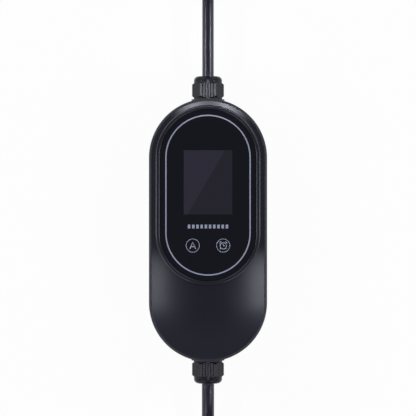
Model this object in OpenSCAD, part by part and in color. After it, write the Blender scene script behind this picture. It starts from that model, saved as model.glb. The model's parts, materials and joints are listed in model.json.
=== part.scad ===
// Portable electric vehicle charger: an in-cable control box with a mains lead and a vehicle lead.
// The box lies on its back: X across, Y along the cables, Z up out of the display. Millimetres.

/* [Housing] */
// Width of the housing, twice the radius of its round ends
body_w = 106; // [100:1:116]
// Length of the housing
body_l = 236; // [228:1:260]
// Depth of the rear cover, up to the parting line
rear_h = 37; // [36:0.5:44]
// Wall thickness of both covers
wall = 3; // [2.6:0.1:3.4]
// Rounding of the front edge
edge_r = 3; // [2:0.5:5]
// Straight band of the front cover above the parting line
band_h = 9.5; // [8.5:0.5:11]
// Radius of the crown across the front
crown_r = 280; // [250:10:400]
// Rounding of the back edge
back_r = 6; // [4:0.5:8]
// Width of the seal between the covers
seal_w = 1.4; // [1:0.1:1.6]
// Height of the seal between the covers
seal_h = 1.6; // [1:0.1:2.5]

/* [Bezel and lens] */
// Outer radius of the raised bezel
bezel_r = 46.8; // [45.8:0.2:47.8]
// Width of the bezel's rim
bezel_rim = 3.8; // [3.4:0.1:4.2]
// Rounding of the rim's two edges
rim_round = 1.4; // [0.8:0.1:1.6]
// Distance between the centres of the bezel's round ends
bezel_span = 67.4; // [60:0.5:72]
// Height of the bezel above the crown
bezel_rise = 1.8; // [1.7:0.1:2.2]
// Width of the ledge that carries the lens
ledge_w = 3.5; // [3:0.1:4]
// Thickness of the ledge that carries the lens
ledge_t = 1.8; // [1.2:0.1:2.4]
// Thickness of the lens
lens_t = 2; // [1.5:0.1:2.5]
// Depth of the lens below the bezel's rim
lens_recess = 0.5; // [0.2:0.1:1]
// Thickness of the tape under the lens
tape_t = 0.3; // [0.2:0.05:0.6]
// Middle radius of the bright ring in the lens
ring_r = 37.6; // [36:0.1:39]
// Width of the bright ring
ring_w = 1.1; // [0.8:0.1:2]
// Depth of the bright ring
ring_t = 0.4; // [0.3:0.1:0.8]

/* [Display] */
// Width of the display panel
lcd_w = 50; // [44:0.5:56]
// Length of the display panel
lcd_l = 69.2; // [60:0.5:74]
// Thickness of the display panel
lcd_t = 2.4; // [1.8:0.1:3]
// Middle of the display panel, from the middle of the housing
lcd_y = 39.9; // [36:0.1:42]
// Height of the frame that holds the panel off its board
holder_h = 3.8; // [3.6:0.1:4.2]
// Distance between the two touch keys
key_pitch = 27.2; // [22:0.2:30]
// Middle of the touch keys, from the middle of the housing
key_y = -13.7; // [-18:0.1:-12]
// Diameter of the springs under the touch keys
key_spring_d = 9; // [7:0.5:11]
// Thickness of the circuit boards
pcb_t = 1.6; // [1.2:0.2:2]

/* [Cable glands] */
// Height of the cable axis above the back
gland_z = 20; // [18.5:0.5:21]
// Diameter of the gland's thread
gland_d = 20; // [18:0.5:21]
// Width of the gland nut across its flats
nut_af = 25; // [24:0.5:27]
// Length of the gland nut's hexagon
nut_l = 13.4; // [12:0.1:18]
// Length of the nut's round nose
dome_l = 5.8; // [5:0.1:8]
// Number of ribs on each flat of the nut
nut_ribs = 5; // [3:1:6]
// Thickness of the housing under the gland
gland_wall = 5; // [4:0.5:7]

/* [Fasteners] */
// Diameter of the screws that join the covers
cover_screw_d = 3; // [2.5:0.1:3.5]
// Diameter of the small screws that hold the boards
board_screw_d = 2.4; // [2:0.1:2.6]
// Height of the posts under the main board
post_h = 5; // [4:0.5:7]

/* [Leads] */
// Diameter of the mains lead
mains_d = 10.5; // [9:0.1:10.8]
// Diameter of the vehicle lead
vehicle_d = 11.2; // [9:0.1:11.4]
// Diameter of the mains plug
plug_d = 35.5; // [33:0.5:35.5]
// Diameter of the connector's head
head_d = 59; // [54:0.5:60]
// Diameter of the connector's grip
grip_d = 38; // [34:0.5:39]

/* [Hidden] */
$fn = 72;
fine = 720;
fit = 0.05;

// Housing: places that follow from the outline
end_r = body_w / 2;
end_y = body_l / 2 - end_r;
fillet_x = end_r - edge_r;
fillet_z = rear_h + band_h;
blend = 0.01;
crown_mid_z = fillet_z - sqrt(pow(crown_r - edge_r, 2) - pow(fillet_x, 2)) - blend;
crown_z = crown_mid_z + crown_r;
inner_edge_r = 1.5;
inner_r = end_r - wall;

// Heights of the layers under the bezel, from the top down
bezel_z = crown_z + bezel_rise;
lens_z = bezel_z - lens_recess - lens_t;
ledge_z = lens_z - tape_t;
lcd_gap = 0.2;
lcd_z = lens_z - lcd_gap - lcd_t;
display_top = lcd_z - holder_h;
display_z = display_top - pcb_t;
bezel_y = end_y - bezel_span / 2;
seat_r = bezel_r - bezel_rim;
lens_gap = 0.2;
lens_r = seat_r - lens_gap;
window_r = seat_r - ledge_w;
pocket_r = window_r + 1.5;
tape_inset = 0.5;

// Screws of the covers: six, in columns against the side walls
column_r = 4;
column_bite = 0.5;
boss_r = 3.75;
head_clear = 0.4;
cover_head_d = cover_screw_d + 3;
cover_head_h = 2.2;
cover_seat_z = 22;
cover_screw_in = 8;
screw_x = inner_r - column_r + column_bite;
screw_ys = [-(end_y - 3), 0, end_y - 3];
cover_screws_at = [for (x = [-screw_x, screw_x]) for (y = screw_ys) [x, y]];

// Display board: its width clears the screw bosses, and its tabs reach the bosses of the front cover
board_head_d = board_screw_d + 2.4;
board_head_h = 1.6;
display_w = 2 * (screw_x - boss_r) - 4.5;
display_lo = -34;
display_hi = 82;
tab_r = 3;
tab_x = pocket_r + 1;
display_screws_at = [[-tab_x, 30], [tab_x, 30], [-(tab_x - 2), -28], [tab_x - 2, -28]];
display_boss_h = 3;
display_screw_in = 2.2;

// Main board: on posts of the rear cover
main_z = wall + post_h;
main_top = main_z + pcb_t;
main_w = 2 * (screw_x - column_r) - 4;
main_l = body_l - 72;
post_r = 3.5;
post_x = main_w / 2 - 6;
post_y = main_l / 2 - 24;
main_screws_at = [for (x = [-post_x, post_x]) for (y = [-post_y, post_y]) [x, y]];
main_screw_in = 4;

// Terminals: the wire openings lie on the cable's axis
terminal_pitch = 10;
terminal_l = 16;
terminal_hole_d = 6;
terminal_hole_in = 9;
terminal_y = main_l / 2 - 2;
terminal_head = 10;

// Parts on the main board: in rows with equal gaps between the two terminals
sensor_r = 16;
sensor_hole_r = 7;
sensor_h = 14;
sensor_soft = 2;
relay_base = [28, 32, 2];
relay_case = [27, 31, 20];
relay_x = 19;
supply_size = [23, 38, 18];
supply_x = -31;
can_d = 12.5;
can_h = 20;
can_xs = [4, 20];
fuse_size = [9, 5, 8];
fuse_at = [0, 44];
buzzer_d = 12;
buzzer_h = 9.5;
buzzer_x = 28;
buzzer_hole_d = 2.5;
buzzer_hole_in = 2;
link_at = [22, 44];
link_socket = [20, 6, 8];
link_w = 16;
link_t = 1;
rows_end = terminal_y - terminal_l;
row_gap = (2 * rows_end - 2 * sensor_r - relay_base[1] - supply_size[1]) / 4;
sensor_y = -rows_end + row_gap + sensor_r;
relay_y = sensor_y + sensor_r + row_gap + relay_base[1] / 2;
supply_y = relay_y + relay_base[1] / 2 + row_gap;

// Glands: heights from the boss face, outwards
washer_t = 0.6;
flange_t = 1;
flange_d = nut_af + 1;
stem_in = gland_wall + 5.4;
stem_out = 9.4;
nut_z = washer_t + flange_t + 0.2;
dome_d = nut_af + 0.5;
dome_r = 4;
nut_bore_l = 10.2;
insert_t = 2.6;
insert_z = washer_t + flange_t + 1;
stem_wall = 3.4;
cord_clear = 0.3;
locknut_t = 5;
locknut_d = (nut_af + 1) / cos(30);
spot_clear = 0.3;
gland_boss_r = nut_af / 2 + 2.5;
boss_proud = 0.4;
boss_t = gland_wall + boss_proud;

// Leads: hanks of oval turns, each turn one layer higher than the last
lay_z = 1.6;
strap_t = 1.2;
turn_gap = 0.5;
skin = 0.4;
mains_turn = mains_d + turn_gap;
vehicle_turn = vehicle_d + turn_gap;
mains_r = 32;
mains_near = 306;
mains_run = 80;
mains_layers = 2;
mains_out_r = 46;
vehicle_r = 34;
vehicle_near = -226;
vehicle_run = 140;
vehicle_layers = 4;
vehicle_out_r = 48;
stub = 32;
strap_w = 16;
mains_low = lay_z + mains_d / 2;
mains_top = mains_low + (mains_layers - 1) * mains_turn;
vehicle_low = lay_z + vehicle_d / 2;
vehicle_top = vehicle_low + (vehicle_layers - 1) * vehicle_turn;
plug_x = mains_r - (2 * mains_out_r - mains_r);
connector_x = vehicle_r - (2 * vehicle_out_r - vehicle_r);
connector_z = 30;

// Routes of the leads where they are not wound, from inside the gland
mains_route = [
    [0, 110, 20], [0, 125, 20], [0, 140, 20], [0, 160, 20], [0, 180, 20], [0, 194, 20],
    [0, 204, 19.95], [0, 212, 19.4], [0, 222, 17.1], [0, 232, 13.8], [0, 242, 10.4], [0, 252, 7.8],
    [0, 260, 6.95], [0, 268, 6.85], [0, 274, 6.85]
];
vehicle_route = [
    [0, -110, 20], [0, -125, 20], [0, -140, 20], [0, -152, 19.5], [0, -162, 17.7],
    [0, -172, 14.2], [0, -180, 10.4], [0, -186, 8.2], [0, -190, 7.3], [0, -194, 7.2]
];
tail_route = [
    [-28, -226, 42.3], [-28, -236, 42.2], [-28, -248, 41], [-28, -260, 38.4], [-28, -272, 34.6],
    [-28, -284, 31.6], [-28, -294, 30.2], [-28, -304, 30]
];
lead_sides = 12;
sheath_in = 8;
core_d = 4;
core_spread = 2.9;
core_sides = 10;
core_rings = 6;

// Mains plug, along its own axis from the cable
relief_l = 28;
plug_shoulder = 10;
plug_l = 66;
pin_d = 4.8;
pin_l = 19;
pin_pitch = 19;
contact_w = 8;
contact_l = 20;
contact_t = 1.2;

// Vehicle connector, along its own axis from the cable
boot_l = 42;
grip_l = 84;
bend_r = 50;
bend_a = 50;
bend_step = 0.4;
neck_l = 26;
collar_l = 16;
nose_l = 44;
nose_d = head_d - 6;
cap_wall = 2.4;
cap_lip = 3;

function unit(v) = v / norm(v);
function heading(p, i) = unit(p[min(i + 1, len(p) - 1)] - p[max(i - 1, 0)]);
function ring(p, i, r, n) =
    let (t = heading(p, i), u = unit(cross([0, 0, 1], t)), v = cross(t, u))
    [for (k = [0:n - 1]) p[i] + r * (cos(360 * k / n) * u + sin(360 * k / n) * v)];
function ease(t) = (1 - cos(180 * t)) / 2;

// A round tube swept along a list of points
module tube(p, d, n) {
    last = len(p) - 1;
    points = [for (i = [0:last]) each ring(p, i, d / 2, n)];
    sides = [
        for (i = [0:last - 1])
            for (k = [0:n - 1])
                let (a = i * n + k, b = i * n + (k + 1) % n)
                each [[a, a + n, b + n], [a, b + n, b]]
    ];
    caps = [[for (k = [0:n - 1]) k], [for (k = [n - 1:-1:0]) last * n + k]];
    polyhedron(points, concat(caps, sides));
}

// An oval with round ends, along Y
module oval(r, span) {
    square([2 * r, span], center = true);
    for (y = [-span / 2, span / 2])
        translate([0, y])
            circle(r);
}

module oval_ring(r_out, r_in, span) {
    difference() {
        oval(r_out, span);
        oval(r_in, span);
    }
}

// A half section carried round an oval: true revolved ends and a straight middle
module carried(span) {
    for (a = [0, 180])
        rotate([0, 0, a])
            translate([0, span / 2, 0])
                rotate_extrude(angle = 180)
                    children();
    translate([0, span / 2, 0])
        rotate([90, 0, 0])
            linear_extrude(span) {
                children();
                mirror([1, 0])
                    children();
            }
}

// Puts a piece that points along +Z on the boss at the mains end or the vehicle end
module at_gland(side) {
    translate([0, side * (body_l / 2 + boss_proud), gland_z])
        rotate([-90 * side, 0, 0])
            children();
}

module at_points(list, z) {
    for (p = list)
        translate([p[0], p[1], z])
            children();
}

// A pan-head screw that points along +Z from the underside of its head
module screw(d, head_d, head_h, l) {
    cylinder(d = d, h = l);
    translate([0, 0, -head_h])
        cylinder(d = head_d, h = head_h);
}

// Half section of the front cover's crown, drawn in by an inset, with its edge rounded
module front_section(inset, edge) {
    x = end_r - inset - edge;
    z = crown_mid_z + blend + sqrt(pow(crown_r - inset - edge, 2) - pow(x, 2));
    low = rear_h - inset;
    intersection() {
        translate([0, low])
            square([end_r, crown_z]);
        translate([0, crown_mid_z])
            circle(crown_r - inset, $fn = fine);
        union() {
            translate([0, low])
                square([end_r - inset, z - low]);
            translate([x, z])
                circle(edge, $fn = 144);
            translate([0, low])
                square([x * (crown_r - inset) / (crown_r - inset - edge), crown_z - low]);
        }
    }
}

// Half section of the bezel, rounded at its outer edge
module bezel_section() {
    translate([0, fillet_z])
        square([bezel_r - rim_round, bezel_z - fillet_z]);
    translate([0, fillet_z])
        square([bezel_r, bezel_z - rim_round - fillet_z]);
    translate([bezel_r - rim_round, bezel_z - rim_round])
        circle(rim_round);
}

// Half section of the lens's seat, flared to round the rim's inner edge
module seat_section() {
    translate([0, ledge_z])
        square([seat_r, bezel_z]);
    difference() {
        translate([seat_r - rim_round, bezel_z - rim_round])
            square([2 * rim_round, 2 * rim_round]);
        translate([seat_r + rim_round, bezel_z - rim_round])
            circle(rim_round);
    }
}

// Half section of the rear cover's outside, drawn in by an inset
module rear_section(inset, top) {
    translate([0, inset])
        square([end_r - back_r, top - inset]);
    translate([0, back_r])
        square([end_r - inset, top - back_r]);
    translate([end_r - back_r, back_r])
        circle(back_r - inset);
}

// Height 0 at the back of the bezel's own frame
module at_bezel(z) {
    translate([0, bezel_y, z])
        children();
}

module front_cover() {
    color("#2b2e34")
    difference() {
        union() {
            difference() {
                union() {
                    carried(2 * end_y)
                        front_section(0, edge_r);
                    at_bezel(0)
                        carried(bezel_span)
                            bezel_section();
                }
                carried(2 * end_y)
                    front_section(wall, inner_edge_r);
                at_bezel(rear_h - 1)
                    linear_extrude(ledge_z - ledge_t - rear_h + 1)
                        oval(pocket_r, bezel_span);
            }
            at_points(cover_screws_at, rear_h)
                cylinder(r = boss_r, h = cover_screw_in + 3);
            at_points(display_screws_at, display_top)
                cylinder(r = tab_r, h = display_boss_h);
        }
        at_bezel(rear_h)
            linear_extrude(bezel_z)
                oval(window_r, bezel_span);
        at_bezel(0)
            carried(bezel_span)
                seat_section();
        at_points(cover_screws_at, rear_h - 1)
            cylinder(d = cover_screw_d, h = cover_screw_in + 2);
        at_points(display_screws_at, display_top - 1)
            cylinder(d = board_screw_d, h = display_screw_in + 1);
    }
}

module rear_cover() {
    groove_r = end_r - wall / 2 - seal_w / 2;
    color("#26282d")
    difference() {
        union() {
            difference() {
                carried(2 * end_y)
                    rear_section(0, rear_h);
                carried(2 * end_y)
                    rear_section(wall, rear_h + 1);
            }
            for (side = [-1, 1])
                at_gland(side)
                    translate([0, 0, -boss_t])
                        cylinder(r = gland_boss_r, h = boss_t);
            at_points(cover_screws_at, wall / 2)
                cylinder(r = column_r, h = rear_h - wall / 2);
            at_points(main_screws_at, wall / 2)
                cylinder(r = post_r, h = main_z - wall / 2);
        }
        for (side = [-1, 1])
            at_gland(side)
                translate([0, 0, -boss_t - 1])
                    cylinder(d = gland_d + 2 * fit, h = boss_t + 2);
        for (side = [-1, 1])
            at_gland(side)
                translate([0, 0, -boss_t - locknut_t])
                    cylinder(d = locknut_d + 2 * spot_clear, h = locknut_t);
        at_points(cover_screws_at, -1)
            cylinder(d = cover_screw_d + 2 * fit, h = rear_h + 2);
        at_points(cover_screws_at, -1)
            cylinder(d = cover_head_d + head_clear, h = cover_seat_z + 1);
        at_points(main_screws_at, main_z - main_screw_in)
            cylinder(d = board_screw_d, h = main_screw_in + 1);
        carried(2 * end_y)
            translate([groove_r, rear_h - seal_h])
                square([seal_w, seal_h + 1]);
    }
}

module cover_seal() {
    color("#50545a")
    translate([0, 0, rear_h - seal_h])
        linear_extrude(seal_h)
            oval_ring(end_r - wall / 2 + seal_w / 2, end_r - wall / 2 - seal_w / 2, 2 * end_y);
}

module cover_screws() {
    color("#8f9296")
    at_points(cover_screws_at, cover_seat_z)
        screw(cover_screw_d, cover_head_d, cover_head_h, rear_h - cover_seat_z + cover_screw_in);
}

module display_lens() {
    color("#0e1014")
    at_bezel(lens_z)
        difference() {
            linear_extrude(lens_t)
                oval(lens_r, bezel_span);
            translate([0, 0, lens_t - ring_t])
                linear_extrude(ring_t + 1)
                    oval_ring(ring_r + ring_w / 2, ring_r - ring_w / 2, bezel_span);
        }
}

module lens_ring() {
    color("#98a0ac")
    at_bezel(lens_z + lens_t - ring_t)
        linear_extrude(ring_t)
            oval_ring(ring_r + ring_w / 2, ring_r - ring_w / 2, bezel_span);
}

module lens_tape() {
    color("#3a3a3a")
    at_bezel(ledge_z)
        linear_extrude(tape_t)
            oval_ring(seat_r - tape_inset, window_r + tape_inset, bezel_span);
}

module display_panel() {
    color("#33383e")
    translate([-lcd_w / 2, lcd_y - lcd_l / 2, lcd_z])
        cube([lcd_w, lcd_l, lcd_t]);
}

module panel_holder() {
    lip = 2;
    color("#d8dade")
    translate([0, lcd_y, display_top])
        linear_extrude(holder_h)
            difference() {
                square([lcd_w + lip, lcd_l + lip], center = true);
                square([lcd_w - 3 * lip, lcd_l - 3 * lip], center = true);
            }
}

module touch_springs() {
    color("#c9a95a")
    for (x = [-key_pitch / 2, key_pitch / 2])
        translate([x, key_y, display_top])
            difference() {
                cylinder(d = key_spring_d, h = lens_z - display_top);
                translate([0, 0, -1])
                    cylinder(d = key_spring_d - 2, h = lens_z - display_top + 2);
            }
}

module display_board() {
    color("#1f5a3c")
    translate([0, 0, display_z])
        linear_extrude(pcb_t)
            difference() {
                union() {
                    translate([-display_w / 2, display_lo])
                        square([display_w, display_hi - display_lo]);
                    for (p = display_screws_at) {
                        translate([p[0], p[1]])
                            circle(tab_r);
                        translate([p[0] / 2, p[1]])
                            square([abs(p[0]), 2 * tab_r], center = true);
                    }
                }
                for (p = display_screws_at)
                    translate([p[0], p[1]])
                        circle(d = board_screw_d + 2 * fit);
            }
}

module display_board_screws() {
    color("#b8bbc0")
    at_points(display_screws_at, display_z)
        screw(board_screw_d, board_head_d, board_head_h, pcb_t + display_screw_in);
}

module main_board() {
    color("#1f5a3c")
    translate([0, 0, main_z])
        linear_extrude(pcb_t)
            difference() {
                square([main_w, main_l], center = true);
                for (p = main_screws_at)
                    translate([p[0], p[1]])
                        circle(d = board_screw_d + 2 * fit);
            }
}

module main_board_screws() {
    color("#b8bbc0")
    at_points(main_screws_at, main_top)
        mirror([0, 0, 1])
            screw(board_screw_d, board_head_d, board_head_h, pcb_t + main_screw_in);
}

// A sealed power relay: a case on a slightly wider base
module relay() {
    translate([-relay_base[0] / 2, -relay_base[1] / 2, 0])
        cube(relay_base);
    translate([-relay_case[0] / 2, -relay_case[1] / 2, relay_base[2]])
        cube(relay_case);
}

module live_relay() {
    color("#202225")
    translate([-relay_x, relay_y, main_top])
        relay();
}

module neutral_relay() {
    color("#202225")
    translate([relay_x, relay_y, main_top])
        relay();
}

module residual_current_sensor() {
    coil_w = sensor_r - sensor_hole_r;
    color("#2a4a7a")
    translate([0, sensor_y, main_top])
        rotate_extrude()
            union() {
                translate([sensor_hole_r, 0])
                    square([coil_w, sensor_h - sensor_soft]);
                translate([sensor_hole_r, 0])
                    square([coil_w - sensor_soft, sensor_h]);
                translate([sensor_r - sensor_soft, sensor_h - sensor_soft])
                    circle(sensor_soft);
            }
}

module supply_module() {
    color("#17181a")
    translate([supply_x, supply_y, main_top])
        cube(supply_size);
}

module capacitors() {
    color("#23303f")
    for (x = can_xs)
        translate([x, supply_y + can_d / 2, main_top])
            cylinder(d = can_d, h = can_h);
}

module input_fuse() {
    color("#6b4a2f")
    translate([fuse_at[0], fuse_at[1], main_top])
        cube(fuse_size);
}

module buzzer() {
    color("#17181a")
    translate([buzzer_x, sensor_y, main_top])
        difference() {
            cylinder(d = buzzer_d, h = buzzer_h);
            translate([0, 0, buzzer_h - buzzer_hole_in])
                cylinder(d = buzzer_hole_d, h = buzzer_hole_in + 1);
        }
}

module link_sockets() {
    color("#e6e2d4")
    for (z = [main_top, display_z - link_socket[2]])
        translate([link_at[0] - link_socket[0] / 2, link_at[1] - link_socket[1] / 2, z])
            cube(link_socket);
}

module link_ribbon() {
    low = main_top + link_socket[2];
    high = display_z - link_socket[2];
    color("#8c9096")
    translate([link_at[0] - link_w / 2, link_at[1] - link_t / 2, low])
        cube([link_w, link_t, high - low]);
}

// A row of screw clamps: wire openings in front, driver openings on top
module terminal_block(ways) {
    w = ways * terminal_pitch + 2;
    top = gland_z + terminal_head;
    difference() {
        translate([-w / 2, -terminal_l, main_top])
            cube([w, terminal_l, top - main_top]);
        for (i = [0:ways - 1])
            translate([(i - (ways - 1) / 2) * terminal_pitch, 0, 0]) {
                translate([0, 1, gland_z])
                    rotate([90, 0, 0])
                        cylinder(d = terminal_hole_d, h = terminal_hole_in + 1);
                translate([0, -terminal_l / 2, top - 4])
                    cylinder(d = terminal_hole_d - 1, h = 5);
            }
    }
}

module mains_terminal() {
    color("#3f7d4f")
    translate([0, terminal_y, 0])
        terminal_block(3);
}

module vehicle_terminal() {
    color("#3f7d4f")
    translate([0, -terminal_y, 0])
        mirror([0, 1, 0])
            terminal_block(4);
}

// Wire cores fan out from the end of a lead's sheath to the openings of a terminal
module cores(slots, first_a, side) {
    ways = len(slots);
    end_at = side * (terminal_y - terminal_hole_in + 2);
    for (i = [0:ways - 1]) {
        a = first_a + 360 * i / ways;
        from = [core_spread * cos(a), side * (body_l / 2 - sheath_in), gland_z + core_spread * sin(a)];
        to = [slots[i] * terminal_pitch, end_at, gland_z];
        tube([
            for (k = [0:core_rings])
                let (t = k / core_rings, across = ease(min(1, 1.5 * t)), up = ease(max(0, 1.4 * t - 0.4)))
                [from[0] + (to[0] - from[0]) * across,
                 from[1] + (to[1] - from[1]) * t,
                 from[2] + (to[2] - from[2]) * up]
        ], core_d, core_sides);
    }
}

module mains_cores() {
    color("#7a4b2a")
    cores([0, -1, 1], 90, 1);
}

module vehicle_cores() {
    color("#7a4b2a")
    cores([1.5, -1.5, -0.5, 0.5], 45, -1);
}

// Parts of a cable gland, pointing along +Z from the boss face
module gland_washer() {
    color("#17181a")
    difference() {
        cylinder(d = flange_d - 0.4, h = washer_t);
        translate([0, 0, -1])
            cylinder(d = gland_d + 2 * fit, h = washer_t + 2);
    }
}

module gland_body() {
    color("#1d1f23")
    difference() {
        union() {
            translate([0, 0, -stem_in])
                cylinder(d = gland_d, h = stem_in + stem_out + washer_t);
            translate([0, 0, washer_t])
                cylinder(d = flange_d, h = flange_t);
        }
        translate([0, 0, -stem_in - 1])
            cylinder(d = gland_d - 2 * stem_wall, h = 2 * stem_in + stem_out);
        translate([0, 0, insert_z])
            cylinder(r = gland_d / 2 - stem_wall + insert_t / 2, h = stem_out);
    }
}

module gland_insert(cord_d) {
    color("#0f1012")
    translate([0, 0, insert_z])
        difference() {
            cylinder(r = gland_d / 2 - stem_wall + insert_t / 2 - fit, h = nut_z + nut_bore_l - insert_z);
            translate([0, 0, -1])
                cylinder(d = cord_d, h = stem_out + 4);
        }
}

module gland_nut(cord_d) {
    corner_d = nut_af / cos(30);
    rib_r = 1;
    rib_h = 0.2;
    rib_x = nut_af / 2 - rib_r + rib_h;
    rib_step = corner_d / 2 / (nut_ribs + 1);
    turned_r = corner_d / 2 + 0.3;
    color("#1d1f23")
    translate([0, 0, nut_z])
        difference() {
            union() {
                intersection() {
                    linear_extrude(nut_l) {
                        circle(d = corner_d, $fn = 6);
                        for (a = [30:60:330])
                            rotate([0, 0, a])
                                for (i = [0:nut_ribs - 1])
                                    translate([rib_x, (i - (nut_ribs - 1) / 2) * rib_step])
                                        circle(rib_r);
                    }
                    rotate_extrude()
                        polygon([
                            [0, 0], [nut_af / 2 + 0.4, 0], [turned_r, 1.4],
                            [turned_r, nut_l - 1.8], [nut_af / 2 - 0.2, nut_l], [0, nut_l]
                        ]);
                }
                translate([0, 0, nut_l - 1])
                    rotate_extrude()
                        union() {
                            square([dome_d / 2 - dome_r, dome_l + 1]);
                            square([dome_d / 2, dome_l + 1 - dome_r]);
                            translate([dome_d / 2 - dome_r, dome_l + 1 - dome_r])
                                circle(dome_r);
                        }
            }
            translate([0, 0, -1])
                cylinder(d = gland_d + 2 * fit, h = nut_bore_l + 1);
            cylinder(d = cord_d + 2 * cord_clear, h = nut_l + dome_l + 1);
        }
}

module gland_locknut() {
    color("#1d1f23")
    translate([0, 0, -boss_t - locknut_t])
        difference() {
            cylinder(d = locknut_d, h = locknut_t, $fn = 6);
            translate([0, 0, -1])
                cylinder(d = gland_d + 2 * fit, h = locknut_t + 2);
        }
}

module mains_lead() {
    color("#191a1c")
    tube(mains_route, mains_d, lead_sides);
}

module vehicle_lead() {
    color("#191a1c")
    tube(vehicle_route, vehicle_d, lead_sides);
}

module vehicle_tail() {
    color("#191a1c")
    tube(tail_route, vehicle_d, lead_sides);
}

// A wound lead as one solid: the oval of its turns, the way in and the last wide bend out
module hank(d, r, near, run, side, low, top, out_r) {
    grow = d / 2 + skin;
    translate([r, near + side * run / 2, lay_z - skin])
        linear_extrude(top + d / 2 - lay_z + 2 * skin)
            oval_ring(r + grow, r - grow, run);
    translate([0, near - side * stub, low])
        rotate([-90 * side, 0, 0])
            cylinder(d = d, h = stub);
    translate([2 * r - out_r, near, top])
        rotate([0, 0, side > 0 ? 180 : 0])
            rotate_extrude(angle = 180)
                translate([out_r, 0])
                    circle(d = d);
}

module mains_hank() {
    color("#191a1c")
    hank(mains_d, mains_r, mains_near, mains_run, 1, mains_low, mains_top, mains_out_r);
}

module vehicle_hank() {
    color("#191a1c")
    hank(vehicle_d, vehicle_r, vehicle_near, vehicle_run, -1, vehicle_low, vehicle_top, vehicle_out_r);
}

// A hook-and-loop strap round the outer run of a hank
module strap(d, r, mid_y, top) {
    inner = [d + 2 * skin, top + d / 2 - lay_z + 2 * skin];
    translate([2 * r, mid_y + strap_w / 2, lay_z - skin + inner[1] / 2])
        rotate([90, 0, 0])
            linear_extrude(strap_w)
                difference() {
                    square([inner[0] + 2 * strap_t, inner[1] + 2 * strap_t], center = true);
                    square(inner, center = true);
                }
}

module mains_strap() {
    color("#2c2d30")
    strap(mains_d, mains_r, mains_near + mains_run / 2, mains_top);
}

module vehicle_strap() {
    color("#2c2d30")
    strap(vehicle_d, vehicle_r, vehicle_near - vehicle_run / 2, vehicle_top);
}

module at_plug() {
    translate([plug_x, mains_near, mains_top])
        rotate([-90, 0, 0])
            children();
}

module mains_plug() {
    color("#1c1d1f")
    at_plug()
        difference() {
            union() {
                cylinder(d1 = mains_d + 3.5, d2 = mains_d + 8, h = relief_l);
                translate([0, 0, relief_l])
                    cylinder(d1 = mains_d + 8, d2 = plug_d, h = plug_shoulder);
                translate([0, 0, relief_l + plug_shoulder])
                    cylinder(d = plug_d, h = plug_l - relief_l - plug_shoulder);
            }
            for (i = [0:3])
                translate([0, 0, 5 + 6 * i])
                    rotate_extrude()
                        translate([mains_d / 2 + 1.2 + 0.5 * i, 0])
                            square([6, 2]);
            for (a = [90, 270])
                rotate([0, 0, a])
                    translate([plug_d / 2 - contact_t, -contact_w / 2, plug_l - contact_l])
                        cube([plug_d, contact_w, contact_l + 1]);
        }
}

module plug_pins() {
    color("#c8c9cc")
    at_plug()
        for (x = [-pin_pitch / 2, pin_pitch / 2])
            translate([x, 0, plug_l]) {
                cylinder(d = pin_d, h = pin_l - pin_d / 2);
                translate([0, 0, pin_l - pin_d / 2])
                    sphere(d = pin_d);
            }
}

module plug_earth_contacts() {
    color("#b9a25a")
    at_plug()
        for (a = [90, 270])
            rotate([0, 0, a])
                intersection() {
                    translate([plug_d / 2 - contact_t, -contact_w / 2, plug_l - contact_l])
                        cube([contact_t, contact_w, contact_l]);
                    cylinder(d = plug_d, h = plug_l, $fn = 360);
                }
}

// Start of the connector: the end of the vehicle lead's tail, pointing along the cable
module at_connector() {
    translate([connector_x, tail_route[len(tail_route) - 1][1], connector_z])
        rotate([90, 0, 0])
            children();
}

// The connector's head, at the end of the bent grip and pointing along its own axis
module at_head() {
    translate([connector_x + bend_r, tail_route[len(tail_route) - 1][1] - boot_l - grip_l, connector_z])
        rotate([0, 0, bend_a])
            translate([-bend_r, 0, 0])
                rotate([90, 0, 0])
                    children();
}

module connector_boot() {
    color("#141517")
    at_connector()
        difference() {
            cylinder(d1 = vehicle_d + 4, d2 = grip_d - 10, h = boot_l);
            for (i = [0:4])
                translate([0, 0, 5 + 7 * i])
                    rotate_extrude()
                        translate([vehicle_d / 2 + 0.9 + 1.05 * i, 0])
                            square([12, 2.4]);
        }
}

module connector_body() {
    shoulder_l = 16;
    color("#232529")
    union() {
        at_connector()
            translate([0, 0, boot_l])
                difference() {
                    union() {
                        cylinder(d1 = grip_d - 8, d2 = grip_d, h = shoulder_l);
                        translate([0, 0, shoulder_l])
                            cylinder(d = grip_d, h = grip_l - shoulder_l);
                    }
                    for (i = [0:5])
                        translate([0, 0, shoulder_l + 8 + 9 * i])
                            rotate_extrude()
                                translate([grip_d / 2 + 0.6, 0])
                                    circle(1.6, $fn = 32);
                }
        translate([connector_x + bend_r, tail_route[len(tail_route) - 1][1] - boot_l - grip_l, connector_z])
            rotate([0, 0, 180])
                rotate_extrude(angle = bend_a)
                    translate([bend_r, 0])
                        circle(d = grip_d - 2 * bend_step);
        at_head() {
            cylinder(d1 = grip_d, d2 = head_d, h = neck_l);
            translate([0, 0, neck_l])
                cylinder(d = head_d, h = collar_l);
            translate([0, 0, neck_l + collar_l])
                cylinder(d = nose_d, h = nose_l);
        }
    }
}

module connector_cap() {
    color("#141517")
    at_head()
        translate([0, 0, neck_l + collar_l + cap_lip])
            difference() {
                cylinder(d = nose_d + 2 * cap_wall, h = nose_l - cap_lip + cap_wall);
                translate([0, 0, -1])
                    cylinder(d = nose_d, h = nose_l - cap_lip + 1);
            }
}

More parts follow.
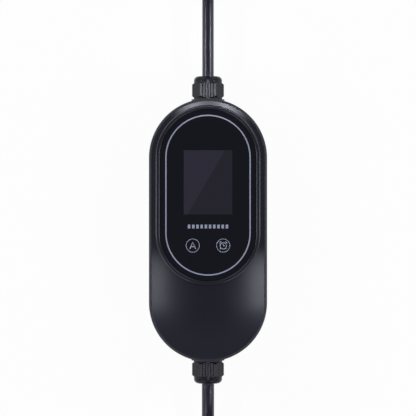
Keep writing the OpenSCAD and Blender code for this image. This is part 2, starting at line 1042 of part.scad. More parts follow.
front_cover();
rear_cover();
cover_seal();
cover_screws();
display_lens();
lens_ring();
lens_tape();
display_panel();
panel_holder();
touch_springs();
display_board();
display_board_screws();
main_board();
main_board_screws();
live_relay();
neutral_relay();
residual_current_sensor();
supply_module();
capacitors();
input_fuse();
buzzer();
link_sockets();
link_ribbon();
mains_terminal();
vehicle_terminal();
mains_cores();
vehicle_cores();
at_gland(1) gland_washer();  // mains_gland_washer
at_gland(1) gland_body();  // mains_gland_body
at_gland(1) gland_insert(mains_d);  // mains_gland_insert
at_gland(1) gland_nut(mains_d);  // mains_gland_nut
at_gland(1) gland_locknut();  // mains_gland_locknut
at_gland(-1) gland_washer();  // vehicle_gland_washer
at_gland(-1) gland_body();  // vehicle_gland_body
at_gland(-1) gland_insert(vehicle_d);  // vehicle_gland_insert
at_gland(-1) gland_nut(vehicle_d);  // vehicle_gland_nut
at_gland(-1) gland_locknut();  // vehicle_gland_locknut
mains_lead();
mains_hank();
mains_strap();
mains_plug();
plug_pins();
plug_earth_contacts();
vehicle_lead();
vehicle_hank();
vehicle_tail();
vehicle_strap();
connector_boot();
connector_body();
connector_cap();
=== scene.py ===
import json
import math

import bpy
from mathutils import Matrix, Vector

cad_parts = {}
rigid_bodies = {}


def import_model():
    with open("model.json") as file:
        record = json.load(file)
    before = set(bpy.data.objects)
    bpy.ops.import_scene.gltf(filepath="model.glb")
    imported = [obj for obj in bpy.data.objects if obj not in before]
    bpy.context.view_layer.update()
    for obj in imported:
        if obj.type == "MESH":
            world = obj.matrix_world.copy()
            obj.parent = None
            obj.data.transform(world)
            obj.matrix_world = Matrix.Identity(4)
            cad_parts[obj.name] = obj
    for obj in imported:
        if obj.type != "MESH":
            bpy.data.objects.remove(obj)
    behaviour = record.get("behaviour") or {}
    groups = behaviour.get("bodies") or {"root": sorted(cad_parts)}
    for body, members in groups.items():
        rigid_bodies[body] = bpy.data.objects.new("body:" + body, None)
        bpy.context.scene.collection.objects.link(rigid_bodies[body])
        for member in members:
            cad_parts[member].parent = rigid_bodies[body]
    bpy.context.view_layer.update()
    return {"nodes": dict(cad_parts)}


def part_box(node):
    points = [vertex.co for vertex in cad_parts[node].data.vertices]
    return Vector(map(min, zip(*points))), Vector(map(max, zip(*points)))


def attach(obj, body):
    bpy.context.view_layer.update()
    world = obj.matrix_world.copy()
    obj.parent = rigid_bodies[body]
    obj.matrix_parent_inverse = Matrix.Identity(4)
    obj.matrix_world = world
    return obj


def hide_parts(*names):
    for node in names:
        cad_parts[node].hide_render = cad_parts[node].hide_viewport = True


for leftover in list(bpy.data.objects):
    bpy.data.objects.remove(leftover)
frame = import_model()


# Housing: two shells moulded in black ABS blend, closed by six screws from the back.
# The mould is spark-eroded, so the plastic is satin, with a fine even grain that
# spreads each highlight, and coarser where the crowned front turns down to the sides.
MM = 0.001
nodes = frame["nodes"]
# The outline is a stadium, with ends of radius END_R round the points END_Y from its middle.
END_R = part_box("front_cover")[1].x
END_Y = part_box("front_cover")[1].y - END_R
COARSE_FROM = END_R - 2.9 * MM
COARSE_BEYOND = END_R - 2.1 * MM
COARSE_ROUGHNESS = 0.55


def linear(hex_colour):
    """The linear colour, with alpha, of an sRGB hex value."""
    parts = [int(hex_colour[at:at + 2], 16) / 255 for at in (1, 3, 5)]
    return [c / 12.92 if c <= 0.04045 else ((c + 0.055) / 1.055) ** 2.4 for c in parts] + [1]


def add(tree, kind, settings, links):
    """Adds a node: settings are its properties and input values, links its inputs' sources."""
    node = tree.nodes.new(kind)
    for key, value in settings.items():
        if isinstance(key, int) or key in node.inputs:
            node.inputs[key].default_value = value
        else:
            setattr(node, key, value)
    for key, source in links.items():
        tree.links.new(source, node.inputs[key])
    return node


def start_material(name, roughness=0.5, ior=1.5, metallic=0.0):
    """A material with its shader's plain values: (material, tree, shader, object coordinates)."""
    material = bpy.data.materials.new(name)
    material.use_nodes = True
    tree = material.node_tree
    shader = tree.nodes["Principled BSDF"]
    shader.inputs["Roughness"].default_value = roughness
    shader.inputs["IOR"].default_value = ior
    shader.inputs["Metallic"].default_value = metallic
    place = add(tree, "ShaderNodeTexCoord", {}, {}).outputs["Object"]
    return material, tree, shader, place


def mottle(tree, shader, place, shades, size, roughness):
    """Drifts the colour between two hex shades and the roughness within a pair, over size metres."""
    dark, light = (linear(shade) for shade in shades)
    cloud = add(tree, "ShaderNodeTexNoise", {"Scale": 1 / size, "Detail": 3.0}, {"Vector": place})
    tint = add(tree, "ShaderNodeMix", {"data_type": "RGBA", 6: dark, 7: light}, {0: cloud.outputs[0]})
    tree.links.new(tint.outputs[2], shader.inputs["Base Color"])
    gloss = add(tree, "ShaderNodeMapRange", {"To Min": roughness[0], "To Max": roughness[1]},
                {"Value": cloud.outputs[0]})
    tree.links.new(gloss.outputs[0], shader.inputs["Roughness"])


def grain(tree, shader, place, size, depth):
    """An even bump of the given grain size and depth in metres."""
    fine = add(tree, "ShaderNodeTexNoise", {"Scale": 1 / size, "Detail": 2.0}, {"Vector": place})
    bump = add(tree, "ShaderNodeBump", {"Strength": 1.0, "Distance": depth},
               {"Height": fine.outputs[0]})
    tree.links.new(bump.outputs[0], shader.inputs["Normal"])


def moulded(name, shades, roughness, grain_size, grain_depth, ior=1.5):
    """Moulded plastic or rubber: two close shades, uneven gloss and the mould's grain."""
    material, tree, shader, place = start_material(name, ior=ior)
    mottle(tree, shader, place, shades, 2 * grain_size, roughness)
    grain(tree, shader, place, grain_size, grain_depth)
    return material


def coarsen_outline(material):
    """Raises the roughness over the last millimetres before the housing's stadium outline."""
    tree = material.node_tree
    shader = tree.nodes["Principled BSDF"]
    gloss = shader.inputs["Roughness"].links[0].from_socket
    place = add(tree, "ShaderNodeTexCoord", {}, {}).outputs["Object"]
    axes = add(tree, "ShaderNodeSeparateXYZ", {}, {0: place})
    along = add(tree, "ShaderNodeMath", {"operation": "ABSOLUTE"}, {0: axes.outputs["Y"]})
    past = add(tree, "ShaderNodeMath", {"operation": "SUBTRACT", 1: END_Y}, {0: along.outputs[0]})
    beyond = add(tree, "ShaderNodeMath", {"operation": "MAXIMUM", 1: 0.0}, {0: past.outputs[0]})
    spoke = add(tree, "ShaderNodeCombineXYZ", {}, {"X": axes.outputs["X"], "Y": beyond.outputs[0]})
    out = add(tree, "ShaderNodeVectorMath", {"operation": "LENGTH"}, {0: spoke.outputs[0]})
    flank = add(tree, "ShaderNodeMapRange",
                {"From Min": COARSE_FROM, "From Max": COARSE_BEYOND, "To Max": COARSE_ROUGHNESS},
                {"Value": out.outputs["Value"]})
    both = add(tree, "ShaderNodeMath", {"operation": "MAXIMUM"}, {0: gloss, 1: flank.outputs[0]})
    tree.links.new(both.outputs[0], shader.inputs["Roughness"])


def dress(material, *names):
    """Gives these CAD nodes the material."""
    for name in names:
        nodes[name].data.materials.clear()
        nodes[name].data.materials.append(material)


# A mould's true grain is about 0.1 mm, too fine to show, so it is drawn at 0.6 mm, and
# at 0.4 mm to 0.8 mm on the other mouldings.
spark_eroded_abs = moulded("spark_eroded_black_abs", ("#1c1c25", "#20202a"), roughness=(0.266, 0.274),
                           grain_size=0.6 * MM, grain_depth=0.0012 * MM)
coarsen_outline(spark_eroded_abs)
dress(spark_eroded_abs, "front_cover", "rear_cover")


# Soft seals: the cord in the housing's joint, the tape under the lens, and the washers
# and inserts of the glands. All are black EPDM or silicone, moulded or cut, held by what
# presses on them, and so dull that no highlight has an edge.
soft_seal_rubber = moulded("matt_black_seal_rubber", ("#19191a", "#232324"), roughness=(0.62, 0.74),
                           grain_size=0.5 * MM, grain_depth=0.008 * MM)
dress(soft_seal_rubber, "cover_seal", "lens_tape")
for lead in ("mains", "vehicle"):
    dress(soft_seal_rubber, f"{lead}_gland_washer", f"{lead}_gland_insert")


# Screws: zinc-plated steel thread-forming screws that close the housing and hold the
# two boards. Plating leaves them bright, with a slight cloud in the gloss.
CLOUD_SIZE = 3 * MM


def metal_faced(name, shades, roughness, metallic=1.0):
    """Plated metal, or ink with metal in it, with a drift in its shade and gloss."""
    material, tree, shader, place = start_material(name, metallic=metallic)
    mottle(tree, shader, place, shades, CLOUD_SIZE, roughness)
    return material


zinc_plate = metal_faced("zinc_plated_steel", ("#a9acb0", "#c3c6c9"), roughness=(0.24, 0.36))
dress(zinc_plate, "cover_screws", "display_board_screws", "main_board_screws")


# Boards: glass-epoxy laminate under glossy green solder mask. Copper tracks stand up a
# little under the mask and show through it as a paler net.
TRACK_PITCH = 2.5 * MM
TRACK_HEIGHT = 0.03 * MM


def solder_mask():
    """Green mask over a net of tracks, in bricks half the pattern's unit long and a quarter high."""
    material, tree, shader, place = start_material("green_solder_mask", roughness=0.3)
    tracks = add(tree, "ShaderNodeTexBrick",
                 {"Scale": 1 / (2 * TRACK_PITCH), "Mortar Size": 0.04, "Mortar": linear("#2a7a4a"),
                  "Color1": linear("#0f4a2b"), "Color2": linear("#115230")}, {"Vector": place})
    tree.links.new(tracks.outputs["Color"], shader.inputs["Base Color"])
    bump = add(tree, "ShaderNodeBump", {"Distance": TRACK_HEIGHT}, {"Height": tracks.outputs["Fac"]})
    tree.links.new(bump.outputs[0], shader.inputs["Normal"])
    return material


dress(solder_mask(), "display_board", "main_board")


# Parts on the boards, soldered or clipped down. The cases are black filled polyester,
# with a dull skin. Holder, sockets and ribbon are natural nylon, milky and a little waxy,
# the terminals green nylon, and the springs under the keys bright brass.
black_filled_polyester = moulded("black_filled_polyester", ("#1b1c1e", "#26272a"), roughness=(0.45, 0.55),
                                 grain_size=0.4 * MM, grain_depth=0.01 * MM)
dress(black_filled_polyester, "live_relay", "neutral_relay", "residual_current_sensor",
      "supply_module", "capacitors", "input_fuse", "buzzer")
natural_nylon = moulded("natural_nylon", ("#d6d2c4", "#e0ddd2"), roughness=(0.4, 0.5),
                        grain_size=0.5 * MM, grain_depth=0.005 * MM)
dress(natural_nylon, "panel_holder", "link_sockets", "link_ribbon")
green_nylon = moulded("green_terminal_nylon", ("#2f7a3e", "#388a48"), roughness=(0.38, 0.46),
                      grain_size=0.5 * MM, grain_depth=0.006 * MM)
dress(green_nylon, "mains_terminal", "vehicle_terminal")
spring_brass = metal_faced("bright_brass", ("#b99a4e", "#cdb061"), roughness=(0.22, 0.34))
dress(spring_brass, "touch_springs")


# Cores: stranded conductors in extruded PVC, smooth and half glossy, clamped in the
# terminals. From the left they are brown, then the earth's green and yellow, drawn as
# one blended colour, then blue.
CORES_HALF_W = 12 * MM
CORE_COLOURS = ((0.0, "#5a3620"), (0.36, "#8a9a2c"), (0.62, "#27508f"))


def set_stops(ramp, stops):
    """Gives a colour ramp these (position, hex colour) stops, in rising order."""
    for at, (position, colour) in enumerate(stops):
        stop = ramp.elements[at] if at < 2 else ramp.elements.new(position)
        stop.position = position
        stop.color = linear(colour)


def core_pvc():
    """Bands of colour across X, one for each core."""
    material, tree, shader, place = start_material("core_pvc", roughness=0.42)
    across = add(tree, "ShaderNodeSeparateXYZ", {}, {0: place}).outputs["X"]
    share = add(tree, "ShaderNodeMapRange", {"From Min": -CORES_HALF_W, "From Max": CORES_HALF_W},
                {"Value": across})
    bands = add(tree, "ShaderNodeValToRGB", {}, {0: share.outputs[0]})
    bands.color_ramp.interpolation = "CONSTANT"
    set_stops(bands.color_ramp, CORE_COLOURS)
    tree.links.new(bands.outputs[0], shader.inputs["Base Color"])
    grain(tree, shader, place, size=0.8 * MM, depth=0.01 * MM)
    return material


dress(core_pvc(), "mains_cores", "vehicle_cores")


# Display lens: hard-coated acrylic bonded into the bezel, printed black on its back
# except over the screen. Behind the clear window the switched-off panel is a dull grey,
# and a painted glare makes one half of the window paler along a diagonal.
LENS_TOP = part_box("display_lens")[1].z
LENS_BLACK = "#14141b"
PANEL_GREY = "#2a2930"
# The paler grey of the painted glare, laid on one half of the window.
PAINTED_GLARE_GREY = "#33313b"
WINDOW_SIZE = (43.4 * MM, 57.4 * MM)
WINDOW_Y = 42.8 * MM
# Two points on the diagonal edge of the painted glare.
PAINTED_GLARE_EDGE = (Vector((15.3 * MM, 71.5 * MM, 0)), Vector((-18.0 * MM, 14.4 * MM, 0)))
SMEAR_SIZE = 30 * MM
SMEAR_ROUGHNESS = (0.07, 0.13)


def lens_acrylic():
    """Black gloss with wiped smears, and the window with a painted glare on its paler half."""
    material, tree, shader, place = start_material("black_backed_acrylic", ior=1.49)
    centred = add(tree, "ShaderNodeVectorMath", {"operation": "SUBTRACT", 1: (0, WINDOW_Y, 0)}, {0: place})
    axes = add(tree, "ShaderNodeSeparateXYZ", {}, {0: centred.outputs[0]})
    within = {}
    for axis, size in zip("XY", WINDOW_SIZE):
        off = add(tree, "ShaderNodeMath", {"operation": "ABSOLUTE"}, {0: axes.outputs[axis]})
        within[axis] = add(tree, "ShaderNodeMath", {"operation": "LESS_THAN", 1: size / 2},
                           {0: off.outputs[0]}).outputs[0]
    window = add(tree, "ShaderNodeMath", {"operation": "MULTIPLY"}, {0: within["X"], 1: within["Y"]})
    # The painted glare: the window's half past the diagonal gets the paler grey.
    start, end = PAINTED_GLARE_EDGE
    glare_side = (end - start).cross(Vector((0, 0, 1))).normalized()
    offset = add(tree, "ShaderNodeVectorMath", {"operation": "SUBTRACT", 1: start}, {0: place})
    beyond = add(tree, "ShaderNodeVectorMath", {"operation": "DOT_PRODUCT", 1: glare_side},
                 {0: offset.outputs[0]})
    glare_half = add(tree, "ShaderNodeMath", {"operation": "GREATER_THAN", 1: 0.0},
               {0: beyond.outputs["Value"]})
    panel = add(tree, "ShaderNodeMix",
                {"data_type": "RGBA", 6: linear(PANEL_GREY), 7: linear(PAINTED_GLARE_GREY)}, {0: glare_half.outputs[0]})
    face = add(tree, "ShaderNodeMix", {"data_type": "RGBA", 6: linear(LENS_BLACK)},
               {0: window.outputs[0], 7: panel.outputs[2]})
    tree.links.new(face.outputs[2], shader.inputs["Base Color"])
    smear = add(tree, "ShaderNodeTexNoise", {"Scale": 1 / SMEAR_SIZE, "Detail": 4.0}, {"Vector": place})
    gloss = add(tree, "ShaderNodeMapRange", {"To Min": SMEAR_ROUGHNESS[0], "To Max": SMEAR_ROUGHNESS[1]},
                {"Value": smear.outputs[0]})
    tree.links.new(gloss.outputs[0], shader.inputs["Roughness"])
    return material


dress(lens_acrylic(), "display_lens")
panel_glass = moulded("switched_off_panel", ("#2c2e33", "#303238"), roughness=(0.14, 0.2),
                      grain_size=2 * MM, grain_depth=0.001 * MM)
dress(panel_glass, "display_panel")


# Bright line: a narrow ring of satin silver, let into the lens round its edge. The
# marks inside it are screen-printed in the same silver ink: a level scale, and two
# ringed signs over the touch keys, the unit of current and a clock.
silver_ink = metal_faced("satin_silver_ink", ("#aab2c0", "#b2bac8"), roughness=(0.42, 0.5), metallic=0.25)
dress(silver_ink, "lens_ring")
INK_T = 0.04 * MM
# The share of the ink's thickness that stands proud of the lens.
INK_PROUD = 0.75
INK_Z = LENS_TOP + (INK_PROUD - 0.5) * INK_T
KEY_X = 13.6 * MM
KEY_Y = -13.7 * MM
KEY_LINE_R = 5.9 * MM
KEY_LINE_W = 0.45 * MM
LETTER_LINE_W = 0.85 * MM
LETTER_H = 6.2 * MM
LETTER_W = 5.2 * MM
LETTER_BAR_Y = -1.0 * MM
CLOCK_LINE_W = 0.6 * MM
CLOCK_R = 2.8 * MM
CLOCK_Y = KEY_Y - 0.25 * MM
# Points of the clock's lines, in shares of the face's radius.
CLOCK_HANDS = ((0, 0.6), (0, 0), (0.5, 0))
CLOCK_BELL = ((0.55, 1.35), (0.95, 1.2), (1.25, 0.75))
CLOCK_FOOT = ((0.75, -0.75), (1.05, -1.05))
SCALE_Y = 3.3 * MM
SCALE_L = 36 * MM
SCALE_BARS = 10
SCALE_BAR_W = 2.2 * MM
SCALE_BAR_H = 3.4 * MM


def node_group(name, sizes):
    """A geometry tree with named size inputs and a material: (tree, input node, output node)."""
    tree = bpy.data.node_groups.new(name, "GeometryNodeTree")
    tree.interface.new_socket("Geometry", in_out="INPUT", socket_type="NodeSocketGeometry")
    for size in sizes:
        tree.interface.new_socket(size, in_out="INPUT", socket_type="NodeSocketFloat")
    tree.interface.new_socket("Finish", in_out="INPUT", socket_type="NodeSocketMaterial")
    tree.interface.new_socket("Geometry", in_out="OUTPUT", socket_type="NodeSocketGeometry")
    return tree, add(tree, "NodeGroupInput", {}, {}), add(tree, "NodeGroupOutput", {}, {})


def end_tree(tree, inputs, output, geometry):
    """Ends a tree in Realize Instances and Set Material."""
    real = add(tree, "GeometryNodeRealizeInstances", {}, {0: geometry})
    done = add(tree, "GeometryNodeSetMaterial", {},
               {0: real.outputs[0], "Material": inputs.outputs["Finish"]})
    tree.links.new(done.outputs[0], output.inputs[0])


def ink_line_tree():
    """Sweeps a flat band of ink along each line."""
    tree, inputs, output = node_group("ink_line", ["Width", "Thickness"])
    level = add(tree, "GeometryNodeSetCurveNormal", {"mode": "Z_UP"}, {0: inputs.outputs["Geometry"]})
    band = add(tree, "GeometryNodeCurvePrimitiveQuadrilateral", {},
               {"Width": inputs.outputs["Width"], "Height": inputs.outputs["Thickness"]})
    swept = add(tree, "GeometryNodeCurveToMesh", {"Fill Caps": True},
                {"Curve": level.outputs[0], "Profile Curve": band.outputs[0]})
    end_tree(tree, inputs, output, swept.outputs[0])
    return tree


def level_scale_tree():
    """A row of like bars along the line between two points."""
    tree, inputs, output = node_group("level_scale", ["Width", "Height", "Thickness"])
    spots = add(tree, "GeometryNodeResampleCurve", {"Count": SCALE_BARS},
                {0: inputs.outputs["Geometry"]})
    size = add(tree, "ShaderNodeCombineXYZ", {},
               {axis: inputs.outputs[name] for axis, name in zip("XYZ", ("Width", "Height", "Thickness"))})
    bar = add(tree, "GeometryNodeMeshCube", {}, {"Size": size.outputs[0]})
    row = add(tree, "GeometryNodeInstanceOnPoints", {},
              {"Points": spots.outputs[0], "Instance": bar.outputs[0]})
    end_tree(tree, inputs, output, row.outputs[0])
    return tree


def strokes(name, lines):
    """A curve object from (points, closed) lines in the XY plane, at the ink's height."""
    curve = bpy.data.curves.new(name, "CURVE")
    curve.dimensions = "3D"
    for points, closed in lines:
        spline = curve.splines.new("POLY")
        spline.points.add(len(points) - 1)
        for point, (x, y) in zip(spline.points, points):
            point.co = (x, y, INK_Z, 1)
        spline.use_cyclic_u = closed
    drawn = bpy.data.objects.new(name, curve)
    bpy.context.collection.objects.link(drawn)
    return drawn


def print_ink(tree, name, lines, sizes):
    """Runs a tree on lines and keeps the result as a plain mesh of ink on the housing."""
    source = strokes(name, lines)
    modifier = source.modifiers.new(name, "NODES")
    modifier.node_group = tree
    values = {**sizes, "Thickness": INK_T, "Finish": silver_ink}
    for item in tree.interface.items_tree:
        if item.in_out == "INPUT" and item.name in values:
            modifier[item.identifier] = values[item.name]
    graph = bpy.context.evaluated_depsgraph_get()
    mesh = bpy.data.meshes.new_from_object(source.evaluated_get(graph), depsgraph=graph)
    source.modifiers.remove(modifier)
    bpy.data.objects.remove(source)
    piece = bpy.data.objects.new(name, mesh)
    bpy.context.collection.objects.link(piece)
    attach(piece, "root")


def circle(x, y, radius, steps):
    """A closed line round a circle."""
    turns = [2 * math.pi * step / steps for step in range(steps)]
    return [(x + radius * math.cos(turn), y + radius * math.sin(turn)) for turn in turns], True


def letter_at(x, y):
    """The ampere's capital letter as two lines, centred on a point."""
    half_w, half_h = LETTER_W / 2, LETTER_H / 2
    bar_y = y + LETTER_BAR_Y
    bar_half = half_w * (half_h - LETTER_BAR_Y) / LETTER_H
    legs = [(x - half_w, y - half_h), (x, y + half_h), (x + half_w, y - half_h)]
    return [(legs, False), ([(x - bar_half, bar_y), (x + bar_half, bar_y)], False)]


def clock_at(x, y):
    """A clock's face, hands, bells and feet as lines, centred on a point."""
    lines = [circle(x, y, CLOCK_R, steps=40)]
    pairs = [(side, shares) for side in (-1, 1) for shares in (CLOCK_BELL, CLOCK_FOOT)]
    for side, shares in [(1, CLOCK_HANDS)] + pairs:
        points = [(x + side * CLOCK_R * across, y + CLOCK_R * up) for across, up in shares]
        lines.append((points, False))
    return lines


ink_line = ink_line_tree()
key_rings = [circle(side * KEY_X, KEY_Y, KEY_LINE_R, steps=72) for side in (-1, 1)]
print_ink(ink_line, "key_rings", key_rings, {"Width": KEY_LINE_W})
print_ink(ink_line, "key_letter", letter_at(-KEY_X, KEY_Y), {"Width": LETTER_LINE_W})
print_ink(ink_line, "key_clock", clock_at(KEY_X, CLOCK_Y), {"Width": CLOCK_LINE_W})
scale_half = (SCALE_L - SCALE_BAR_W) / 2
scale_line = [([(-scale_half, SCALE_Y), (scale_half, SCALE_Y)], False)]
print_ink(level_scale_tree(), "level_scale", scale_line, {"Width": SCALE_BAR_W, "Height": SCALE_BAR_H})


# Glands: a threaded body through each end of the housing, its locknut inside, and a
# ribbed hexagon cap nut that squeezes the insert on the cable. All are moulded in black
# nylon, a little darker and duller than the housing's front, with a weak shine.
moulded_nylon = moulded("moulded_black_nylon", ("#19191f", "#1e1e24"), roughness=(0.31, 0.33),
                        grain_size=0.4 * MM, grain_depth=0.0006 * MM, ior=1.26)
for lead in ("mains", "vehicle"):
    dress(moulded_nylon, f"{lead}_gland_body", f"{lead}_gland_nut", f"{lead}_gland_locknut")


# Mains lead: rubber-sheathed flexible cable of 10.5 mm, level out of the gland, then
# down to the table and on to a flat hank of two turns. The extruded sheath is satin and
# even, so a lamp draws one soft line along it.
MAINS_D = 10.5
# Diameters and routes are in millimetres, and the exits in metres.
MAINS_ROUTE = [
    (0, 125, 20), (0, 140, 20), (0, 160, 20), (0, 180, 20), (0, 194, 20), (0, 204, 19.95),
    (0, 212, 19.4), (0, 222, 17.1), (0, 232, 13.8), (0, 242, 10.4), (0, 252, 7.8), (0, 260, 6.95),
    (0, 268, 6.85), (0, 274, 6.85), (0, 290, 6.85), (0, 306, 6.85),
]
MAINS_TAIL = [(-28, 314, 17.85)]
# A bend has a point each 15 degrees and a straight run has 5, and a bend that climbs is
# up after two thirds of its sweep.
BEND_STEP = 15
RUN_STEPS = 5
CLIMB_SHARE = 2 / 3


def sheath(name, shades):
    """Rubber with a soft even gloss and a fine grain."""
    material, tree, shader, place = start_material(name, ior=1.45)
    mottle(tree, shader, place, shades, size=4 * MM, roughness=(0.295, 0.305))
    grain(tree, shader, place, size=0.5 * MM, depth=0.0008 * MM)
    return material


def bend(centre, radius, start, sweep, low, high):
    """Points round a bend, from a start over a sweep in degrees, that climbs from low to high."""
    steps = round(abs(sweep) / BEND_STEP)
    points = []
    for step in range(1, steps + 1):
        share = step / steps
        turn = math.radians(start + sweep * share)
        climb = min(1, share / CLIMB_SHARE)
        rise = climb * climb * (3 - 2 * climb)
        points.append((centre[0] + radius * math.cos(turn), centre[1] + radius * math.sin(turn),
                       low + (high - low) * rise))
    return points


def straight(x, start_y, end_y, z):
    """Points along a straight run, without its first."""
    shares = [step / RUN_STEPS for step in range(1, RUN_STEPS + 1)]
    return [(x, start_y + (end_y - start_y) * share, z) for share in shares]


def hank(radius, near_y, far_y, layers, out_centre_x, out_radius):
    """The turns of a hank whose left runs lie on x = 0, and the wide bend that leads out of it."""
    half_turn = -180 if far_y > near_y else 180
    points = []
    for layer, z in enumerate(layers):
        points += straight(0, near_y, far_y, z)
        points += bend((radius, far_y), radius, 180, half_turn, z, z)
        points += straight(2 * radius, far_y, near_y, z)
        if layer + 1 < len(layers):
            points += bend((radius, near_y), radius, 0, half_turn, z, layers[layer + 1])
    top = layers[-1]
    return points + bend((out_centre_x, near_y), out_radius, 0, half_turn, top, top)


def lay_cord(name, points, diameter, finish):
    """A round cord along points in millimetres, as a curve of one open spline."""
    curve = bpy.data.curves.new(name, "CURVE")
    curve.dimensions = "3D"
    curve.bevel_depth = diameter / 2 * MM
    curve.bevel_resolution = 7
    curve.resolution_u = 4
    curve.use_fill_caps = True
    spline = curve.splines.new("BEZIER")
    spline.bezier_points.add(len(points) - 1)
    for knot, point in zip(spline.bezier_points, points):
        knot.co = [c * MM for c in point]
        knot.handle_left_type = knot.handle_right_type = "AUTO"
    curve.materials.append(finish)
    cord = bpy.data.objects.new(name, curve)
    bpy.context.collection.objects.link(cord)
    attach(cord, "root")
    return cord


cable_rubber = sheath("extruded_cable_rubber", ("#1b1b24", "#1f1f29"))
mains_turns = hank(radius=32, near_y=306, far_y=386, layers=(6.85, 17.85), out_centre_x=18, out_radius=46)
mains_cord = lay_cord("mains_cord", MAINS_ROUTE + mains_turns + MAINS_TAIL, MAINS_D, cable_rubber)
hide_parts("mains_lead", "mains_hank")


# Ties: each hank is held by a strap of woven nylon hook-and-loop tape, closed on itself.
# The weave and its loose fibres leave it dull, with a pale bloom at the edges.
WEAVE_CELL = 1.6 * MM
FIBRE_SIZE = 0.9 * MM
FIBRE_DEPTH = 0.25 * MM


def woven_tape():
    """Over-and-under threads, really 0.8 mm apart, drawn at 1.6 mm so that they show."""
    material, tree, shader, place = start_material("woven_nylon_tape", roughness=0.8)
    weave = add(tree, "ShaderNodeTexChecker",
                {"Scale": 1 / WEAVE_CELL, "Color1": linear("#1c1c1f"), "Color2": linear("#2a2a2e")},
                {"Vector": place})
    tree.links.new(weave.outputs["Color"], shader.inputs["Base Color"])
    fluff = add(tree, "ShaderNodeTexNoise", {"Scale": 1 / FIBRE_SIZE, "Detail": 4.0}, {"Vector": place})
    bump = add(tree, "ShaderNodeBump", {"Distance": FIBRE_DEPTH}, {"Height": fluff.outputs[0]})
    tree.links.new(bump.outputs[0], shader.inputs["Normal"])
    shader.inputs["Sheen Weight"].default_value = 0.3
    return material


dress(woven_tape(), "mains_strap", "vehicle_strap")


# Mains plug: two nickel-plated round pins, bright and faintly yellow, and two side earth
# contacts of bare brass, in a body of black PVC that is moulded on the cable together
# with its strain relief and is half dull.
plug_shell = moulded("moulded_plug_pvc", ("#1c1d1f", "#232427"), roughness=(0.42, 0.52),
                     grain_size=0.7 * MM, grain_depth=0.01 * MM)
dress(plug_shell, "mains_plug")
nickel_plate = metal_faced("nickel_plated_brass", ("#c2c0ba", "#d2d0cb"), roughness=(0.16, 0.26))
dress(nickel_plate, "plug_pins")
dress(spring_brass, "plug_earth_contacts")


# Vehicle lead: 11.2 mm cable, sheathed as the mains lead is, wound in a taller hank of
# four turns. Its tail comes down off the hank to the connector that lies beside it.
VEHICLE_D = 11.2
VEHICLE_ROUTE = [
    (0, -125, 20), (0, -140, 20), (0, -152, 19.5), (0, -162, 17.7), (0, -172, 14.2),
    (0, -180, 10.4), (0, -186, 8.2), (0, -190, 7.3), (0, -194, 7.2), (0, -210, 7.2), (0, -226, 7.2),
]
VEHICLE_TAIL = [
    (-28, -236, 42.2), (-28, -248, 41), (-28, -260, 38.4), (-28, -272, 34.6), (-28, -284, 31.6),
    (-28, -294, 30.2), (-28, -304, 30), (-28, -312, 30),
]
vehicle_turns = hank(radius=34, near_y=-226, far_y=-366, layers=(7.2, 18.9, 30.6, 42.3),
                     out_centre_x=20, out_radius=48)
vehicle_cord = lay_cord("vehicle_cord", VEHICLE_ROUTE + vehicle_turns + VEHICLE_TAIL, VEHICLE_D,
                        cable_rubber)
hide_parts("vehicle_lead", "vehicle_hank", "vehicle_tail")


# Vehicle connector: a bent grip moulded in black nylon, half dull so that it doesn't
# slip in the hand. A satin rubber boot is moulded on the cable, and a dust cap of the
# seals' dull rubber is pushed over the contacts.
boot_rubber = sheath("moulded_boot_rubber", ("#18191b", "#202123"))
dress(boot_rubber, "connector_boot")
dress(soft_seal_rubber, "connector_cap")
grip_plastic = moulded("moulded_grip_nylon", ("#1d1e21", "#25262a"), roughness=(0.38, 0.48),
                       grain_size=0.8 * MM, grain_depth=0.012 * MM)
dress(grip_plastic, "connector_body")


# Studio: a white table with soft lamps on both sides. The strips draw the lines on the
# bezel's rim, the corner boxes fill, and narrow snoots put one highlight each on cables,
# nuts, shoulder and belly.
FLOOR_HALF = 4.0
FLOOR_WHITE_SHARE = 0.96
LAMP_TINT = linear("#f2f2ff")[:3]
SNOOT_R = 0.004
BOX_MIDDLE = (0, 0, 0.04)
# The room's grey by height of view: dark over the camera, so that the lens stays black,
# with a paler ring round that for the crown to mirror.
CEILING = ((0.3, "#7d7d84"), (0.75, "#5c5c64"), (0.9, "#5c5c64"), (0.945, "#a6a6ae"), (0.98, "#58585f"))


def white_table():
    """White for what looks at it, with the object's shadow kept in its plain share."""
    material, tree, shader, _ = start_material("white_table", roughness=0.9)
    shader.inputs["Base Color"].default_value = linear("#f2f2f3")
    path = add(tree, "ShaderNodeLightPath", {}, {})
    seen = path.outputs["Is Camera Ray"]
    for ray in ("Is Glossy Ray", "Is Transmission Ray"):
        either = add(tree, "ShaderNodeMath", {"operation": "MAXIMUM"}, {0: seen, 1: path.outputs[ray]})
        seen = either.outputs[0]
    share = add(tree, "ShaderNodeMath", {"operation": "MULTIPLY", 1: FLOOR_WHITE_SHARE}, {0: seen})
    glow = add(tree, "ShaderNodeEmission", {"Strength": 1.0}, {})
    both = add(tree, "ShaderNodeMixShader", {},
               {0: share.outputs[0], 1: shader.outputs[0], 2: glow.outputs[0]})
    tree.links.new(both.outputs[0], tree.nodes["Material Output"].inputs["Surface"])
    return material


floor_mesh = bpy.data.meshes.new("table")
floor_corners = [(x * FLOOR_HALF, y * FLOOR_HALF, 0) for x, y in ((-1, -1), (1, -1), (1, 1), (-1, 1))]
floor_mesh.from_pydata(floor_corners, [], [(0, 1, 2, 3)])
floor_mesh.materials.append(white_table())
floor = bpy.data.objects.new("table", floor_mesh)
bpy.context.collection.objects.link(floor)


def hang(lamp, place, aim, power):
    """Hangs a lamp of the given watts at a place, facing a point."""
    lamp.energy = power
    lamp.color = LAMP_TINT
    light = bpy.data.objects.new(lamp.name, lamp)
    light.location = place
    light.rotation_euler = (Vector(aim) - Vector(place)).to_track_quat("-Z", "Y").to_euler()
    bpy.context.collection.objects.link(light)


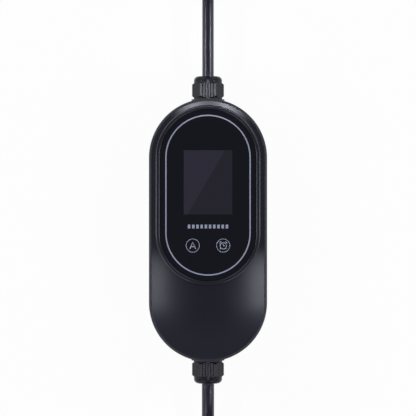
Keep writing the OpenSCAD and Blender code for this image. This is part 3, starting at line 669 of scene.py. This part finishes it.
def softbox(name, place, size, power):
    """A rectangular soft light that faces the middle of the box."""
    lamp = bpy.data.lights.new(name, "AREA")
    lamp.shape = "RECTANGLE"
    lamp.size, lamp.size_y = size
    hang(lamp, place, BOX_MIDDLE, power)


def snoot(name, place, aim, beam, power):
    """A lamp with a narrow soft-edged beam, in degrees, that puts one highlight on one place."""
    lamp = bpy.data.lights.new(name, "SPOT")
    lamp.spot_size = math.radians(beam)
    lamp.spot_blend = 1.0
    lamp.shadow_soft_size = SNOOT_R
    hang(lamp, place, aim, power)


for side, name, mains_power, vehicle_power in ((-1, "left", 20, 20), (1, "right", 25, 28)):
    softbox(f"{name}_strip", (1.4 * side, 0, 0.42), size=(0.3, 1.6), power=7)
    for end in (-1, 1):
        softbox(f"{name}_corner_{end}", (0.9 * side, 1.1 * end, 0.8), size=(1.0, 1.0), power=7)
    snoot(f"{name}_mains_snoot", (0.95 * side, 0.172, 0.78), aim=(0, 0.172, 0.028),
          beam=4.2, power=mains_power)
    snoot(f"{name}_vehicle_snoot", (0.95 * side, -0.164, 0.78), aim=(0, -0.164, 0.022),
          beam=2.4, power=vehicle_power)
snoot("left_shoulder_snoot", (-0.165, 0.665, 1.434), aim=(-0.0135, 0.115, 0.05), beam=1.95, power=12.5)
snoot("right_shoulder_snoot", (0.208, 0.665, 1.434), aim=(0.0195, 0.115, 0.05), beam=2.15, power=15.5)
snoot("left_belly_snoot", (-0.477, -0.058, 1.17), aim=(-0.05, -0.059, 0.05), beam=4.4, power=2.7)
snoot("right_belly_snoot", (0.477, -0.058, 1.17), aim=(0.05, -0.059, 0.05), beam=4.4, power=3.6)
snoot("mains_nut_snoot", (0, 0.3, 2.0), aim=(0, 0.1265, 0.034), beam=0.62, power=80)
snoot("vehicle_nut_snoot", (0, -0.26, 2.0), aim=(0, -0.1275, 0.034), beam=0.66, power=24)

world = bpy.data.worlds.new("studio_room")
world.use_nodes = True
bpy.context.scene.world = world
# The room is even enough to need no samples of its own, so they all go to the lamps.
world.cycles.sampling_method = "NONE"
sky = world.node_tree
direction = add(sky, "ShaderNodeTexCoord", {}, {}).outputs["Generated"]
height = add(sky, "ShaderNodeSeparateXYZ", {}, {0: direction}).outputs["Z"]
ceiling = add(sky, "ShaderNodeValToRGB", {}, {0: height})
set_stops(ceiling.color_ramp, CEILING)
sky.links.new(ceiling.outputs[0], sky.nodes["Background"].inputs["Color"])


# Camera: straight above the box, far enough off that the depth of the housing hardly
# shows. The picture is 374 mm wide at the height of the housing's widest band.
VIEW_WIDTH = 0.3744
VIEW_CENTRE_Y = 0.01985
OUTLINE_Z = 0.040
CAMERA_DISTANCE = 2.0
camera_data = bpy.data.cameras.new("overhead_camera")
camera_data.sensor_width = 36
camera_data.lens = camera_data.sensor_width * CAMERA_DISTANCE / VIEW_WIDTH
camera = bpy.data.objects.new("overhead_camera", camera_data)
camera.location = (0, VIEW_CENTRE_Y, OUTLINE_Z + CAMERA_DISTANCE)
bpy.context.collection.objects.link(camera)
bpy.context.scene.camera = camera
bpy.context.scene.view_settings.view_transform = "Standard"
